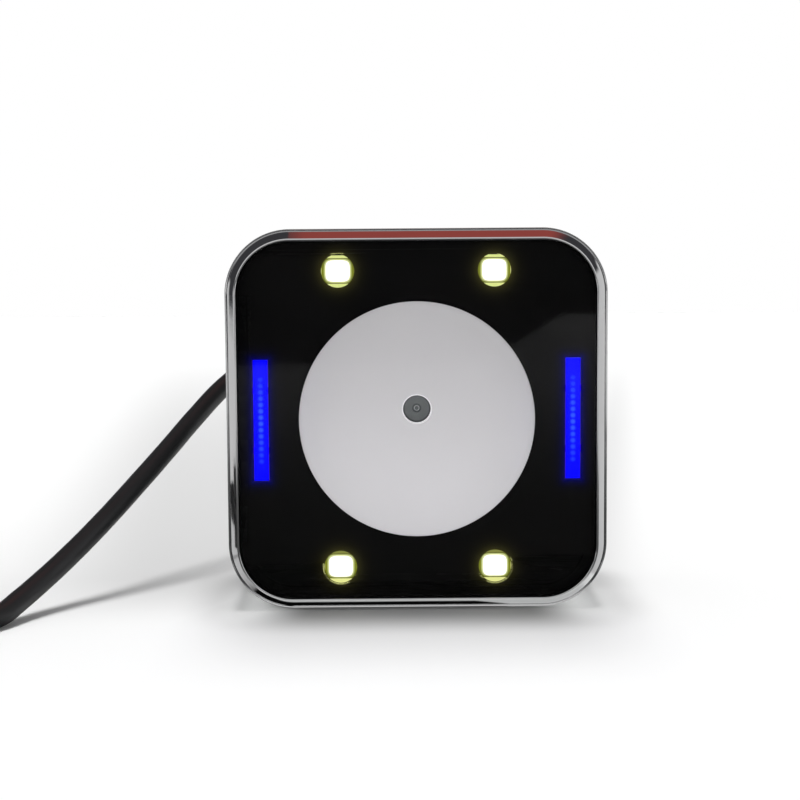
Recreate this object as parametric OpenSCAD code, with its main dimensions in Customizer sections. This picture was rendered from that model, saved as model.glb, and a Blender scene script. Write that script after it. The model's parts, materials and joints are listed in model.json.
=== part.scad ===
// Fixed-mount barcode scan engine: a square clear window in a bright bezel, with a white lit disc
// round the camera's eye, four corner lamps and two status bars, and a lead that leaves the back.
// X runs to the right, Y runs from the front to the back and Z runs up. The engine stands on its
// lower edge, and the origin is under its middle.

/* [Housing] */
// Width and height of the square housing
face_w = 66; // [65:0.5:68]
// Outer radius of the housing's corners
corner_r = 11.3; // [11:0.1:12]
// Depth from the bezel's front edge to the back of the rear shell
body_d = 34; // [34:0.5:40]
// Depth of the bright bezel
bezel_d = 13; // [12.5:0.1:14]
// Depth of the slanted flank that runs from the lip down to the rim
flank_d = 2; // [1.6:0.1:2.4]
// Width of the flat lip round the window
lip_w = 0.35; // [0.3:0.05:0.45]
// Radius of the thin round rim at the flank's foot
rim_r = 0.3; // [0.2:0.05:0.35]
// Width of the housing's wall round the window: lip, flank and rim together
frame_w = 2.05; // [1.95:0.05:2.15]

/* [Window] */
// Thickness of the clear window
window_t = 2; // [1.8:0.1:2.1]
// Diameter of the white disc that shows through the black print
disc_d = 41; // [38:0.2:41.2]
// Diameter of the camera's eye
eye_d = 4.8; // [4:0.1:5.2]
// Height of the eye above the middle of the window
eye_z = 1.8; // [0:0.1:2]

/* [Lamps] */
// Diameter of each corner lamp's opening
lamp_d = 5.7; // [5:0.1:6]
// Distance of each corner lamp from the middle, across
lamp_x = 13.5; // [13:0.1:14]
// Distance of each corner lamp from the middle, up or down
lamp_z = 25.8; // [25.5:0.1:25.8]
// Width of each status bar
bar_w = 2.8; // [2.4:0.1:3]
// Length of each status bar
bar_len = 21.2; // [19.2:0.5:22.2]
// Distance of each status bar from the middle
bar_x = 27.1; // [26.8:0.1:27.1]

/* [Back] */
// Hole-to-hole distance of the four threaded mounting inserts
mount_pitch = 40; // [38:0.5:40]
// Height of the lead's exit above the middle of the back
exit_z = 13; // [12:0.5:14]
// Diameter of the lead
cord_d = 3.8; // [3.6:0.1:3.8]

/* [Hidden] */
$fn = 48;
touch = 0.01;
face_z = face_w / 2;
half_w = face_w / 2;
front_y = -body_d / 2;
// Distance of each corner's centre of curvature from the middle, the same for every outline
corner_c = half_w - corner_r;

// Half widths of the bezel's steps
pocket_u = half_w - frame_w;
lip_u = pocket_u + lip_w;
ledge_u = half_w - 3.6;
// The flank is a shallow arc from the lip's edge to the rim, round a centre given as [distance from
// middle, depth]
foot_u = half_w - rim_r;
flank_r = 10;
flank_in = foot_u - lip_u;
flank_len = norm([flank_in, flank_d]);
flank_sink = sqrt(flank_r * flank_r - flank_len * flank_len / 4);
flank_c = [(lip_u + foot_u) / 2 - flank_sink * flank_d / flank_len,
    flank_d / 2 + flank_sink * flank_in / flank_len];

// Depths behind the bezel's front edge, from the window to the back wall
window_f = 0.2;
film_f = window_f + window_t;
film_t = 0.2;
frame_f = film_f + film_t;
tape_t = 0.35;
ledge_f = frame_f + tape_t;
ledge_t = 1.2;
pillar_f = ledge_f + ledge_t;
disc_t = 1.2;
disc_b = frame_f + disc_t;
plate_b = frame_f + 2;
flange_b = pillar_f + 1.9;
board_f = 7;
board_t = 1;
board_b = board_f + board_t;
seal_t = 1.3;
tongue_f = flange_b + seal_t;
pillar_b = bezel_d - 0.2;
shell_f = bezel_d + 0.4;
sensor_f = 14;
sensor_b = sensor_f + 1;
main_f = 19;
main_t = 1.4;
main_b = main_f + main_t;
back_t = 2.4;
back_in = body_d - back_t;

// Walls of the rear shell
wall_u = half_w - 2;
tongue_u = pocket_u - 0.2;
tongue_in = tongue_u - 1.6;
back_round = 1.5;
reveal_d = 2;

// Places that repeat in each corner, from the middle
pillar_at = 26.4;
pillar_r = 3;
pillar_gap = 0.3;
pillar_root = 0.2;
boss_r = 3.2;
stack_at = 21;
stack_r = 2.5;
housing_screw_r = 1.15;
stack_screw_r = 1;
screw_seat = 19;
screw_head_r = 2.2;
screw_bore_r = 2.6;
stack_tip = 4.4;

// Lamp wells, status bars and the light box behind the white disc
well_r = lamp_d / 2 + 0.1;
well_wall = 1.2;
lamp_f = 3;
lamp_body = [5.6, 4.4];
lamp_lens = [4.2, 3.7];
lamp_lens_round = 0.9;
lamp_gap = 0.15;
bar_b = 6.1;
slot_wall = 1.3;
bar_gap = 0.1;
slot_gap = 0.2;
bar_led_count = 14;
bar_led_pitch = 1.1;
box_r = disc_d / 2 + 0.1;
box_wall = 1.25;
fill_count = 8;
fill_at = 13.2;

// Camera
thread_r = 3.3;
holder_r = 4.6;
holder_w = 11.6;
holder_in = 8.6;
ear_at = 9;

// Mounting inserts
insert_r = 2.1;
insert_len = 4.5;
insert_bore_r = 1.25;
insert_boss_r = 3.4;

// Lead: the boot that holds it, its route, and the coil of the length that is put away
cord_r = cord_d / 2;
boot_len = 14;
boot_r = 4;
boot_tip_r = 2.7;
boot_collar_r = 5.2;
boot_flange_r = 5.6;
boot_seat_f = body_d - 1.4;
coil_at = [-100.4, -17];
coil_in = 13.3;
coil_out = 24.7;
coil_layers = 4;
coil_h = coil_layers * cord_d;
strap_t = 0.8;
strap_half_angle = 9;
lead_route = [
    [0, 13.6, 46], [0, 18, 46], [0, 24, 46], [0, 31, 46], [-2, 39, 46], [-8, 45, 45.2],
    [-16, 47, 44], [-24, 44.5, 42.4], [-30.5, 38.5, 40.2], [-35, 31.5, 38], [-37.8, 27, 36],
    [-43, 18.5, 30.3], [-46.9, 12, 25.5], [-51.6, 4.2, 19.9], [-57.4, -5, 13.3], [-62.3, -12.4, 8.3],
    [-65.5, -17.8, 5.4], [-67.8, -22.6, 3.5], [-69.9, -27.8, 2.1], [-73.2, -33, 1.9], [-78.6, -37.3, 1.9],
    [-86, -39.6, 1.9], [-93, -39.8, 1.9], [-100.4, -39.8, 1.9]
];
tail_route = [
    [-123.2, -17, 13.3], [-123.1, -13, 12.8], [-122.6, -9, 11.3], [-121.7, -5.2, 8.7],
    [-120.7, -1.6, 6.1], [-119.9, 2.2, 4.5], [-119.6, 6, 3.9], [-119.6, 7, 3.9]
];

// Plug on the lead's far end
plug_x = -119.6;
plug_y = 7;
plug_z = 3.9;
plug_boot_len = 9;
plug_w = 15.8;
plug_t = 7.8;
plug_len = 20;
plug_round = 1.6;
blade_w = 12;
blade_t = 4.5;
blade_len = 12;
blade_wall = 0.3;
tongue_t = 1.8;

// A plate whose outline, seen from the front, is its child, between two depths behind the front
module plate(from, to) {
    translate([0, front_y + to, face_z]) rotate([90, 0, 0]) linear_extrude(to - from) children();
}

// A body turned from its child, drawn as [radius, depth], about an axis square to the window
module turned(x = 0, z = 0) {
    translate([x, front_y, face_z + z]) rotate([-90, 0, 0]) rotate_extrude() children();
}

// Square with round corners that share their centres with the housing's own corners
module outline(half) {
    r = half - corner_c;
    square([2 * half, 2 * corner_c], center = true);
    square([2 * corner_c, 2 * half], center = true);
    for (x = [-1, 1], z = [-1, 1]) translate([x, z] * corner_c) circle(r);
}

// Rectangle with round corners
module rounded(w, h, r) {
    square([w, h - 2 * r], center = true);
    square([w - 2 * r, h], center = true);
    for (x = [-1, 1], y = [-1, 1]) translate([x * (w / 2 - r), y * (h / 2 - r)]) circle(r);
}

// Child at the same place in all four corners
module corners(x, z) {
    for (i = [-1, 1], j = [-1, 1]) translate([i * x, j * z]) children();
}

// Ring round the housing's outline, swept from its child, drawn as [distance from middle, depth]
module rim() {
    translate([0, front_y, face_z]) rotate([-90, 0, 0]) for (turn = [0 : 90 : 270]) rotate(turn) {
        translate([corner_c, corner_c, 0]) rotate_extrude(angle = 90) translate([-corner_c, 0]) children();
        translate([0, corner_c, 0]) rotate([90, 0, 0]) linear_extrude(2 * corner_c) children();
    }
}

// Bezel: flat lip, slanted flank, thin rim, window pocket, ledge behind the window and skirt over the
// shell
module bezel_profile() {
    skirt_f = flank_d + rim_r;
    difference() {
        union() {
            intersection() {
                translate([ledge_u, 0]) square([foot_u - ledge_u, skirt_f]);
                translate(flank_c) circle(flank_r);
            }
            translate([foot_u, skirt_f]) circle(rim_r);
            translate([ledge_u, skirt_f]) square([half_w - ledge_u, bezel_d - skirt_f]);
        }
        translate([ledge_u - 1, -1]) square([pocket_u - ledge_u + 1, 1 + ledge_f]);
        translate([ledge_u - 1, pillar_f]) square([pocket_u - ledge_u + 1, bezel_d]);
    }
}

module bezel() {
    color("silver") difference() {
        union() {
            rim() bezel_profile();
            plate(pillar_f - pillar_root, pillar_b) corners(pillar_at, pillar_at) circle(pillar_r);
        }
        plate(pillar_f + pillar_root, bezel_d) corners(pillar_at, pillar_at) circle(housing_screw_r);
    }
}

module window() {
    color("gainsboro", 0.35) plate(window_f, film_f) outline(pocket_u - 0.1);
}

module window_tape() {
    color("dimgray") plate(frame_f, ledge_f) difference() {
        outline(pocket_u - 0.15);
        outline(ledge_u);
    }
}

// Black film with clear openings for the disc, the lamps and the status bars
module mask_film() {
    color([0.03, 0.03, 0.035]) plate(film_f, frame_f) difference() {
        outline(pocket_u - 0.15);
        circle(disc_d / 2);
        corners(lamp_x, lamp_z) circle(lamp_d / 2);
        for (i = [-1, 1]) translate([i * bar_x, 0]) square([bar_w, bar_len], center = true);
    }
}

// White disc with a bevelled hole for the eye
module diffuser_disc() {
    bevel = 0.2;
    eye_r = eye_d / 2;
    color("whitesmoke") difference() {
        plate(frame_f, disc_b) circle(disc_d / 2 + 1.4);
        turned(0, eye_z) polygon([
            [0, frame_f - 1], [eye_r + bevel + 1, frame_f - 1], [eye_r, frame_f + bevel],
            [eye_r, disc_b + 1], [0, disc_b + 1]
        ]);
    }
}

module bar_slot(grow) {
    for (i = [-1, 1]) translate([i * bar_x, 0]) square([bar_w + grow, bar_len + grow], center = true);
}

// Black frame behind the film: seat for the disc, light box, lamp wells and status bar slots
module front_frame() {
    half = ledge_u - 0.3;
    color([0.08, 0.08, 0.09]) difference() {
        union() {
            plate(frame_f, plate_b) outline(half);
            plate(pillar_f, flange_b) difference() {
                outline(tongue_u - 0.1);
                outline(half - 1.5);
            }
            plate(plate_b - touch, board_f) intersection() {
                outline(half);
                union() {
                    difference() {
                        outline(half);
                        outline(half - 1.5);
                    }
                    circle(box_r + box_wall);
                    corners(lamp_x, lamp_z) circle(well_r + well_wall);
                    corners(stack_at, stack_at) circle(stack_r);
                    bar_slot(2 * slot_wall);
                }
            }
        }
        plate(frame_f - 1, disc_b + 0.05) circle(disc_d / 2 + 1.5);
        plate(frame_f - 1, board_f + 1) {
            circle(box_r);
            corners(lamp_x, lamp_z) circle(well_r);
            bar_slot(slot_gap);
        }
        plate(lamp_f - 0.4, board_f + 1) corners(lamp_x, lamp_z)
            square([lamp_body.x + 2 * lamp_gap, lamp_body.y + 2 * lamp_gap], center = true);
        plate(stack_tip - 0.2, board_f + 1) corners(stack_at, stack_at) circle(stack_screw_r);
        plate(pillar_f - 2 * pillar_root, board_f + 1) corners(pillar_at, pillar_at)
            circle(pillar_r + pillar_gap);
    }
}

// Light guide of one status bar, with two ribs that key it in its slot
module light_bar(side) {
    w = bar_w - 2 * bar_gap;
    len = bar_len - 2 * bar_gap;
    color([0.1, 0.15, 1]) plate(frame_f, bar_b) translate([side * bar_x, 0]) {
        square([w, len], center = true);
        for (j = [-1, 1]) translate([0, j * len / 4]) square([bar_w + slot_gap, 1.2], center = true);
    }
}

module led_board() {
    color("darkgreen") plate(board_f, board_b) difference() {
        outline(half_w - 4.5);
        translate([0, eye_z]) circle(holder_r + 0.2);
        corners(stack_at, stack_at) circle(stack_screw_r + 0.1);
        corners(pillar_at, pillar_at) circle(pillar_r + pillar_gap + 0.1);
        for (i = [-1, 1]) translate([i * ear_at, eye_z]) circle(0.75);
    }
}

// One corner lamp: a tall ceramic package with a recess for its lens
module lamp(x, z) {
    color("ivory") difference() {
        plate(lamp_f, board_f) translate([x * lamp_x, z * lamp_z]) square(lamp_body, center = true);
        plate(lamp_f - 1, lamp_f + 0.5) translate([x * lamp_x, z * lamp_z])
            rounded(lamp_lens.x, lamp_lens.y, lamp_lens_round);
    }
}

// The lamp's lens, which fills the recess and stands a little proud
module lamp_lens(x, z) {
    color("lemonchiffon") plate(lamp_f - 0.3, lamp_f + 0.5) translate([x * lamp_x, z * lamp_z])
        rounded(lamp_lens.x, lamp_lens.y, lamp_lens_round);
}

// Row of small lights behind one status bar
module bar_leds(side) {
    top = (bar_led_count - 1) * bar_led_pitch / 2;
    color("lightskyblue") plate(board_f - 0.6, board_f) for (i = [0 : bar_led_count - 1])
        translate([side * bar_x, i * bar_led_pitch - top]) square([1.1, 0.7], center = true);
}

// Ring of lights that backs the white disc
module fill_leds() {
    color("ivory") plate(board_f - 0.8, board_f) for (i = [0 : fill_count - 1])
        rotate(360 * (i + 0.5) / fill_count) translate([fill_at, 0]) square([2.8, 3.5], center = true);
}

// Rubber seal between the front frame and the rear shell's tongue
module body_seal() {
    color([0.12, 0.12, 0.12]) plate(flange_b, tongue_f) difference() {
        outline(tongue_u);
        outline(tongue_in);
        corners(pillar_at, pillar_at) circle(pillar_r + pillar_gap);
    }
}

// Threaded lens holder with two ears, screwed to the back of the lamp board
module lens_holder() {
    color([0.1, 0.1, 0.1]) difference() {
        union() {
            turned(0, eye_z) translate([0, 5]) square([holder_r, 5]);
            plate(board_b, sensor_f) translate([0, eye_z]) square(holder_w, center = true);
            plate(board_b, board_b + 1.5) translate([0, eye_z]) rounded(2 * ear_at + 4, 6, 2);
        }
        plate(4, sensor_f) translate([0, eye_z]) circle(thread_r);
        plate(10, sensor_f + 1) translate([0, eye_z]) square(holder_in, center = true);
        plate(board_b - 1, board_b + 2) for (i = [-1, 1]) translate([i * ear_at, eye_z]) circle(0.9);
    }
}

// Lens barrel with a shallow cone round a small aperture, and slots for a turning tool
module lens_barrel() {
    front = 4;
    color([0.25, 0.26, 0.26]) difference() {
        turned(0, eye_z) polygon([
            [0.8, front + 0.6], [2.3, front + 0.15], [2.6, front], [thread_r - 0.1, front],
            [thread_r, front + 0.1], [thread_r, 12], [2.3, 12], [2.3, 8], [0.8, 6]
        ]);
        plate(front - 1, front + 0.5) for (i = [-1, 1]) translate([i * thread_r, eye_z])
            square([0.9, 0.8], center = true);
    }
}

module front_lens() {
    color("lightsteelblue") turned(0, eye_z) intersection() {
        translate([0, 4.7]) square([0.8, 1.2]);
        translate([0, 6.3]) circle(1.55);
    }
}

module image_sensor() {
    color([0.15, 0.2, 0.3]) plate(sensor_f - 0.9, sensor_f) translate([0, eye_z])
        square([6.4, 6], center = true);
}

module sensor_board() {
    color("darkgreen") plate(sensor_f, sensor_b) translate([0, eye_z - 1]) rounded(20, 15, 1);
}

module sensor_screws() {
    color("silver") for (i = [-1, 1]) turned(i * ear_at, eye_z) {
        translate([0, board_f + 0.1]) square([0.75, board_b + 1.5 - board_f]);
        translate([0, board_b + 1.5]) square([1.5, 0.9]);
    }
}

module sensor_socket() {
    color("ivory") plate(sensor_b, sensor_b + 1.2) translate([0, -3]) square([10, 3.4], center = true);
}

// Flat ribbon from the sensor board down to the main board, drawn as [height, depth] and folded twice
module ribbon_profile() {
    t = 0.2;
    bend = 1.2;
    from = sensor_b + 0.5;
    to = main_f - 0.7;
    translate([-13.5 + bend, from]) square([13.5 - bend - 4.7, t]);
    translate([-13.5, from + bend]) square([t, to - from - 2 * bend + t]);
    translate([-17.5, to]) square([4 - bend + t, t]);
    translate([-13.5 + bend, from + bend]) intersection() {
        difference() {
            circle(bend);
            circle(bend - t);
        }
        translate([-bend, -bend]) square(bend);
    }
    translate([-13.5 - bend + t, to - bend + t]) intersection() {
        difference() {
            circle(bend);
            circle(bend - t);
        }
        square(bend);
    }
}

module ribbon_cable() {
    color("orange") translate([-4, front_y, face_z]) rotate([90, 0, 90]) linear_extrude(8) mirror([1, 0])
        rotate(90) ribbon_profile();
}

module board_spacers() {
    color("goldenrod") plate(board_b, main_f) corners(stack_at, stack_at) difference() {
        circle(2.4);
        circle(stack_screw_r + 0.1);
    }
}

// Long screws through the main board, the spacers and the lamp board into the front frame
module board_screws() {
    color("silver") for (i = [-1, 1], j = [-1, 1]) difference() {
        turned(i * stack_at, j * stack_at) {
            translate([0, stack_tip]) square([stack_screw_r, main_b - stack_tip]);
            translate([0, main_b]) square([1.9, 1.3]);
        }
        plate(main_b + 0.6, main_b + 2) translate([i * stack_at, j * stack_at]) {
            square([2.4, 0.5], center = true);
            square([0.5, 2.4], center = true);
        }
    }
}

module main_board() {
    color("darkgreen") plate(main_f, main_b) difference() {
        outline(24.8);
        corners(stack_at, stack_at) circle(stack_screw_r + 0.1);
    }
}

module decoder_chip() {
    color([0.07, 0.07, 0.08]) plate(main_f - 1.2, main_f) translate([-8, 8]) difference() {
        square(12, center = true);
        translate([-6, 6]) circle(1);
    }
}

module memory_chip() {
    color([0.07, 0.07, 0.08]) plate(main_f - 1, main_f) translate([8, 9]) square([8, 6.5], center = true);
}

module crystal() {
    color("silver") plate(main_f - 0.8, main_f) translate([7, 1]) square([3.2, 2.5], center = true);
}

module board_capacitors() {
    color("tan") plate(main_f - 0.7, main_f) for (i = [0 : 5]) translate([-16 + 2.4 * i, -6])
        square([1.6, 0.8], center = true);
}

module ribbon_socket() {
    color("ivory") difference() {
        plate(main_f - 1.2, main_f) translate([0, -17]) square([10, 3.4], center = true);
        plate(main_f - 0.75, main_f - 0.45) translate([0, -16]) square([8.2, 3.4], center = true);
    }
}

module lead_socket() {
    color("ivory") difference() {
        plate(main_b, main_b + 6) translate([0, -8]) square([12.4, 4.8], center = true);
        plate(main_b + 1, main_b + 7) translate([0, -8]) square([10.8, 3.4], center = true);
    }
}

module lead_connector() {
    color("white") plate(main_b + 1, main_b + 7.2) translate([0, -8]) square([10.6, 3.2], center = true);
}

// Tube swept along a route of points, with its ends square to the route
function unit(v) = v / norm(v);
function heading(route, i) =
    let (n = len(route) - 1) unit(route[min(i + 1, n)] - route[max(i - 1, 0)]);
function ring(route, i, r, sides) =
    let (t = heading(route, i), a = unit(cross(t, abs(t.z) > 0.8 ? [1, 0, 0] : [0, 0, 1])), b = cross(t, a))
    [for (k = [0 : sides - 1]) let (q = 360 * (k + 0.5) / sides) route[i] + r * (a * cos(q) + b * sin(q))];

module tube(route, r, sides = 8) {
    n = len(route);
    points = [for (i = [0 : n - 1]) each ring(route, i, r, sides)];
    faces = concat(
        [[for (k = [0 : sides - 1]) k]],
        [for (i = [0 : n - 2], k = [0 : sides - 1])
            let (a = i * sides + k, b = i * sides + (k + 1) % sides) [a, a + sides, b + sides, b]],
        [[for (k = [sides - 1 : -1 : 0]) (n - 1) * sides + k]]
    );
    polyhedron(points, faces);
}

// Five cores of the lead, from the boot's inner end to the connector on the main board
module signal_wires() {
    color("crimson") for (i = [-2 : 2]) {
        x = i * 0.8;
        tube([for (p = [
            [x / 2, 30, exit_z], [x / 2, 29, exit_z], [x, 28, exit_z - 2], [x, 28, exit_z - 6],
            [x * 2, 29, 0], [x * 2, 29.4, -5], [x * 2, 29, -7.4], [x * 2, 28, -8], [x * 2, main_b + 7.2, -8]
        ]) [p.x, front_y + p.y, face_z + p.z]], 0.18, 6);
    }
}

module buzzer() {
    color([0.1, 0.1, 0.1]) translate([12, 0, -12]) difference() {
        turned() translate([0, main_b]) square([4.8, 4.5]);
        turned() translate([0, main_b + 3.5]) square([0.8, 2]);
    }
}

// Rear shell: tongue inside the bezel, walls with a rounded back edge, and the back wall
module shell_profile() {
    r = back_round;
    intersection() {
        union() {
            translate([tongue_in, tongue_f]) square([tongue_u - tongue_in, body_d - tongue_f]);
            translate([tongue_in, shell_f]) square([half_w - tongue_in, reveal_d]);
            translate([wall_u, shell_f]) square([half_w - wall_u, body_d - shell_f - r]);
            translate([tongue_in, back_in]) square([half_w - r - tongue_in, back_t]);
            translate([wall_u - 1, body_d - r - 1]) square([half_w - r - wall_u + 1, r + 1]);
            translate([half_w - r, body_d - r]) circle(r);
        }
        union() {
            square([half_w, shell_f + reveal_d]);
            translate([wall_u, 0]) square([half_w, body_d]);
            translate([0, back_in]) square([half_w, back_t]);
        }
    }
}

module rear_shell() {
    color([0.07, 0.07, 0.075]) difference() {
        union() {
            rim() shell_profile();
            plate(back_in, body_d) outline(tongue_in + 0.5);
            plate(pillar_b, shell_f + touch) intersection() {
                corners(pillar_at, pillar_at) circle(boss_r);
                outline(tongue_u);
            }
            plate(shell_f, back_in + touch) corners(pillar_at, pillar_at) circle(boss_r);
            plate(body_d - insert_len - back_t, back_in + touch) corners(mount_pitch / 2, mount_pitch / 2)
                circle(insert_boss_r);
            plate(back_in - 1.4, back_in + touch) translate([0, exit_z]) difference() {
                circle(7.4);
                circle(5.8);
            }
        }
        plate(tongue_f - 1, pillar_b) corners(pillar_at, pillar_at) circle(pillar_r + pillar_gap);
        plate(pillar_b - 1, body_d + 1) corners(pillar_at, pillar_at) circle(housing_screw_r + 0.2);
        plate(screw_seat, body_d + 1) corners(pillar_at, pillar_at) circle(screw_bore_r);
        plate(body_d - insert_len - 0.2, body_d + 1) corners(mount_pitch / 2, mount_pitch / 2) circle(insert_r);
        plate(back_in - 1, body_d + 1) translate([0, exit_z]) circle(boot_r);
        plate(boot_seat_f, body_d + 1) translate([0, exit_z]) circle(boot_collar_r);
        plate(back_in - 1, body_d + 1) translate([12, -12]) {
            circle(0.6);
            for (a = [0 : 60 : 300]) rotate(a) translate([2.4, 0]) circle(0.6);
        }
    }
}

// Brass inserts with a through bore, a knurl groove and a lead-in bevel at the mouth
module mount_inserts() {
    inner = body_d - insert_len - 0.2;
    outer = body_d - 0.2;
    color("goldenrod") for (i = [-1, 1], j = [-1, 1]) turned(i * mount_pitch / 2, j * mount_pitch / 2) polygon([
        [insert_bore_r, inner], [insert_r, inner], [insert_r, inner + 1.8], [insert_r - 0.3, inner + 2],
        [insert_r - 0.3, inner + 2.5], [insert_r, inner + 2.7], [insert_r, outer], [insert_bore_r, outer]
    ]);
}

module housing_screws() {
    color("silver") for (i = [-1, 1], j = [-1, 1]) difference() {
        turned(i * pillar_at, j * pillar_at) {
            translate([0, 6]) square([housing_screw_r, screw_seat - 6]);
            translate([0, screw_seat]) square([screw_head_r, 1.6]);
        }
        plate(screw_seat + 0.7, screw_seat + 3) translate([i * pillar_at, j * pillar_at]) {
            square([2.8, 0.6], center = true);
            square([0.6, 2.8], center = true);
        }
    }
}

// Moulded boot: a flange inside the back wall, a collar sunk in its outside and a ribbed taper
module strain_relief() {
    ribs = 5;
    rib_d = 0.6;
    pitch = (boot_len - 1.5) / ribs;
    color([0.06, 0.06, 0.065]) turned(0, exit_z) polygon(concat(
        [[cord_r, back_in - 1.3], [boot_flange_r, back_in - 1.3], [boot_flange_r, back_in],
         [boot_r, back_in], [boot_r, boot_seat_f], [boot_collar_r - 0.2, boot_seat_f],
         [boot_collar_r - 0.2, body_d - 0.4], [boot_collar_r - 0.6, body_d]],
        [for (i = [0 : ribs - 1]) let (
            r = boot_r + (boot_tip_r - boot_r) * i / ribs, d = body_d + i * pitch
        ) each [[r - rib_d, d], [r - rib_d, d + pitch * 0.4], [r, d + pitch * 0.4], [r, d + pitch]]],
        [[boot_tip_r, body_d + ribs * pitch], [boot_tip_r, body_d + boot_len - 0.4],
         [boot_tip_r - 0.4, body_d + boot_len], [cord_r, body_d + boot_len]]
    ));
}

module cord_lead() {
    color([0.05, 0.05, 0.055]) difference() {
        tube(lead_route, cord_r);
        translate([coil_at.x, coil_at.y, -1]) cylinder(r = coil_out, h = coil_h + 2, $fn = 96);
    }
}

// The turns of the coil as one ring, nipped in underneath where the strap passes
module cord_coil() {
    color([0.05, 0.05, 0.055]) translate([coil_at.x, coil_at.y, 0]) difference() {
        rotate_extrude($fn = 96) translate([coil_in, 0]) square([coil_out - coil_in, coil_h]);
        rotate(90 - strap_half_angle) rotate_extrude(angle = 2 * strap_half_angle, $fn = 96)
            translate([coil_in - 1, -1]) square([coil_out - coil_in + 2, 1 + strap_t]);
    }
}

// Hook-and-loop strap round the coil
module cord_strap() {
    t = strap_t;
    color([0.1, 0.1, 0.11]) translate([coil_at.x, coil_at.y, 0]) rotate(90 - strap_half_angle)
        rotate_extrude(angle = 2 * strap_half_angle, $fn = 96) difference() {
            translate([coil_in - t, 0]) square([coil_out - coil_in + 2 * t, coil_h + t]);
            translate([coil_in, t]) square([coil_out - coil_in, coil_h - t]);
        }
}

module cord_tail() {
    color([0.05, 0.05, 0.055]) difference() {
        tube(tail_route, cord_r);
        translate([coil_at.x, coil_at.y, -1]) cylinder(r = coil_out, h = coil_h + 2, $fn = 96);
    }
}

// Child drawn in the plug's own cross-section, run between two distances from the boot's tip
module along_plug(from, to) {
    translate([plug_x, plug_y + to, plug_z]) rotate([90, 0, 0]) linear_extrude(to - from) children();
}

// Moulded plug body with its tapered boot and two finger grooves on each broad side
module plug_body() {
    front = plug_boot_len + plug_len;
    color([0.06, 0.06, 0.065]) difference() {
        union() {
            translate([plug_x, plug_y, plug_z]) rotate([-90, 0, 0])
                cylinder(r1 = 2.5, r2 = 3.6, h = plug_boot_len + touch);
            along_plug(plug_boot_len, front) rounded(plug_w, plug_t, plug_round);
        }
        for (i = [0 : 2], z = [-1, 1])
            translate([plug_x, plug_y + plug_boot_len + 6 + 4 * i, plug_z + z * (plug_t / 2 + 0.4)])
                cube([plug_w - 5, 1.6, 1.6], center = true);
        along_plug(front - 8, front + 1) square([blade_w, blade_t], center = true);
    }
}

// Folded metal shell of the plug, with its two latch windows on each side
module plug_shell() {
    start = plug_boot_len + plug_len - 8;
    front = plug_boot_len + plug_len + blade_len;
    color("lightgray") difference() {
        along_plug(start, front) rounded(blade_w, blade_t, 0.5);
        along_plug(start - 1, front + 1) rounded(blade_w - 2 * blade_wall, blade_t - 2 * blade_wall, 0.3);
        for (i = [-1, 1]) translate([plug_x + i * 3, plug_y + front - 6.4, plug_z])
            cube([2.3, 2.3, 10], center = true);
    }
}

module plug_tongue() {
    start = plug_boot_len + plug_len - 8;
    color("white") along_plug(start, start + 8 + blade_len - 1.5)
        translate([0, tongue_t / 2 + blade_wall - blade_t / 2]) square([blade_w - 1.3, tongue_t], center = true);
}

module plug_contacts() {
    start = plug_boot_len + plug_len;
    color("gold") along_plug(start + 0.5, start + blade_len - 3) for (x = [-3.5, -1, 1, 3.5])
        translate([x, tongue_t + 0.1 + blade_wall - blade_t / 2]) square([1, 0.2], center = true);
}

bezel();
window();
window_tape();
mask_film();
diffuser_disc();
front_frame();
light_bar(-1);  // light_bar_left
light_bar(1);  // light_bar_right
led_board();
lamp(-1, 1);  // lamp_top_left
lamp(1, 1);  // lamp_top_right
lamp(-1, -1);  // lamp_bottom_left
lamp(1, -1);  // lamp_bottom_right
lamp_lens(-1, 1);  // lamp_lens_top_left
lamp_lens(1, 1);  // lamp_lens_top_right
lamp_lens(-1, -1);  // lamp_lens_bottom_left
lamp_lens(1, -1);  // lamp_lens_bottom_right
bar_leds(-1);  // bar_leds_left
bar_leds(1);  // bar_leds_right
fill_leds();
body_seal();
lens_holder();
lens_barrel();
front_lens();
image_sensor();
sensor_board();
sensor_screws();
sensor_socket();
ribbon_cable();
board_spacers();
board_screws();
main_board();
decoder_chip();
memory_chip();
crystal();
board_capacitors();
ribbon_socket();
lead_socket();
lead_connector();
signal_wires();
buzzer();
rear_shell();
mount_inserts();
housing_screws();
strain_relief();
cord_lead();
cord_coil();
cord_strap();
cord_tail();
plug_body();
plug_shell();
plug_tongue();
plug_contacts();
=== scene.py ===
# Barcode scan engine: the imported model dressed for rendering.
# Lengths are millimetres until place() or spot() turns them into metres. A place on the housing is given
# as it is seen from the front: x to the right of the middle, z above the middle, and the depth behind
# the bezel's front edge.
import json
import math

import bmesh
import bpy
from mathutils import Matrix, Vector
from mathutils.geometry import tessellate_polygon


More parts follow.
